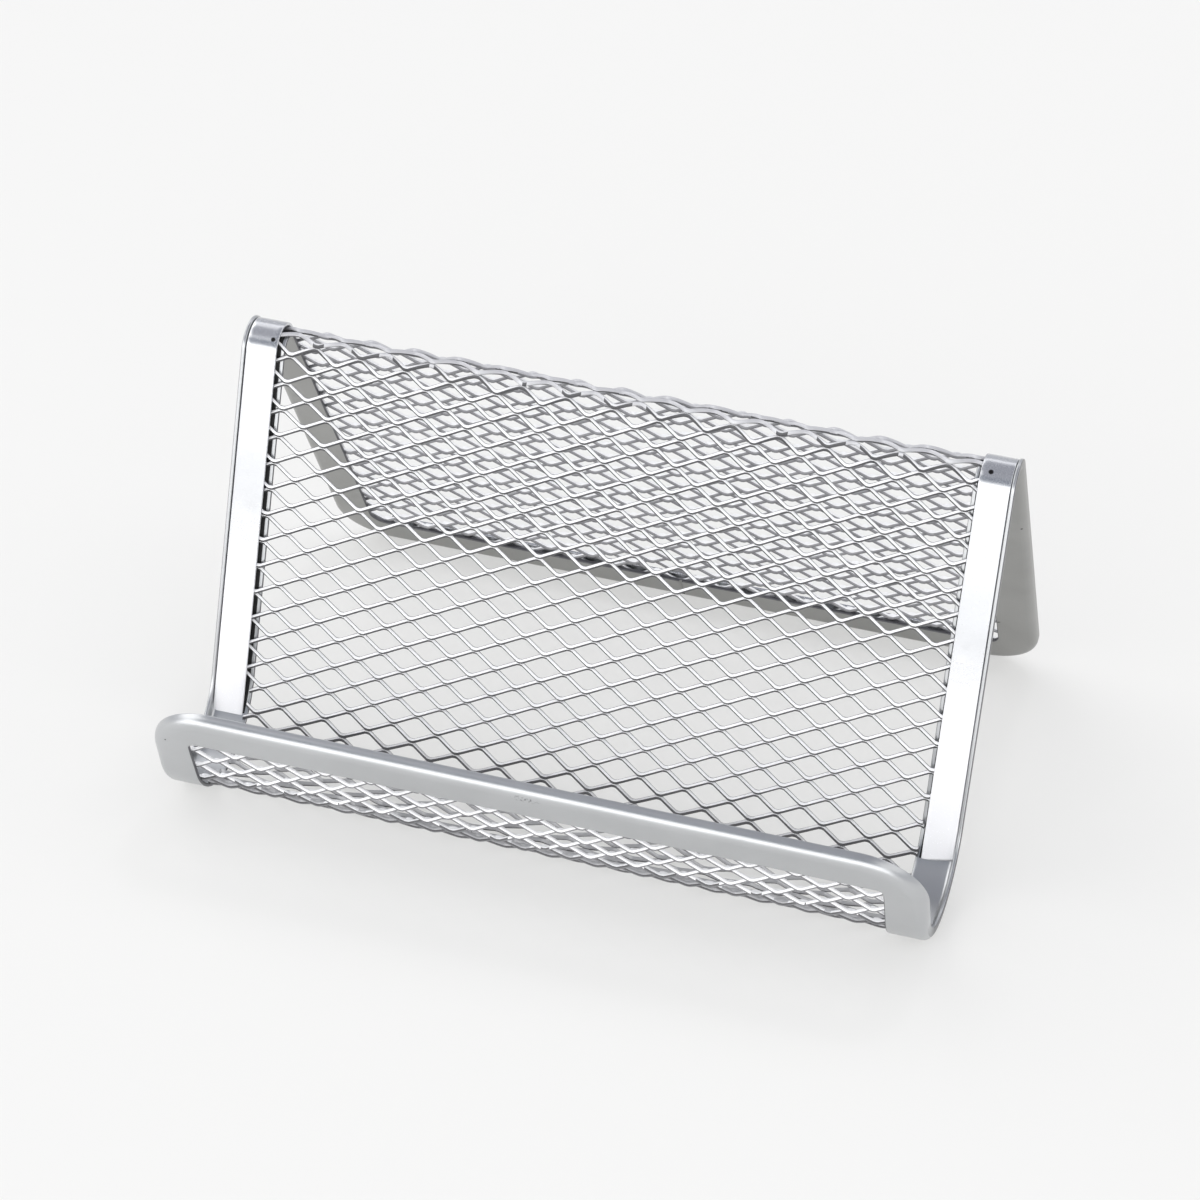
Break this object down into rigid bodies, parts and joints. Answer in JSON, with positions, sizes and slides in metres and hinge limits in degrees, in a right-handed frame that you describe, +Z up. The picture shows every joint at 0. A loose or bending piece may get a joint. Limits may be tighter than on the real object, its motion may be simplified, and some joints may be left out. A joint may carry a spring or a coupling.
{
  "type": "business card holder stand",
  "caption": "Desk stand for business cards, bent from one framed sheet of expanded metal with a front lip, a round valley, a sloping back rest and a rear leg.",
  "frame": {"origin": "on the table, under the middle of the stand", "axes": "+X along the width to the stand's left side as seen from behind, -Y towards the person who takes a card, +Z up"},
  "size_m": [0.105, 0.08, 0.056],
  "materials": {
    "silver_paint": "satin silver paint",
    "silver_paint_mesh": "satin silver paint"
  },
  "bodies": {
    "root": {"rim_frame": "silver_paint", "mesh_lip": "silver_paint_mesh", "mesh_valley": "silver_paint_mesh", "mesh_back_rest": "silver_paint_mesh", "mesh_top_bend": "silver_paint_mesh", "mesh_rear_leg": "silver_paint_mesh", "lip_strip": "silver_paint", "side_strip_left": "silver_paint", "side_strip_right": "silver_paint", "rear_strip": "silver_paint"}
  },
  "joints": []
}
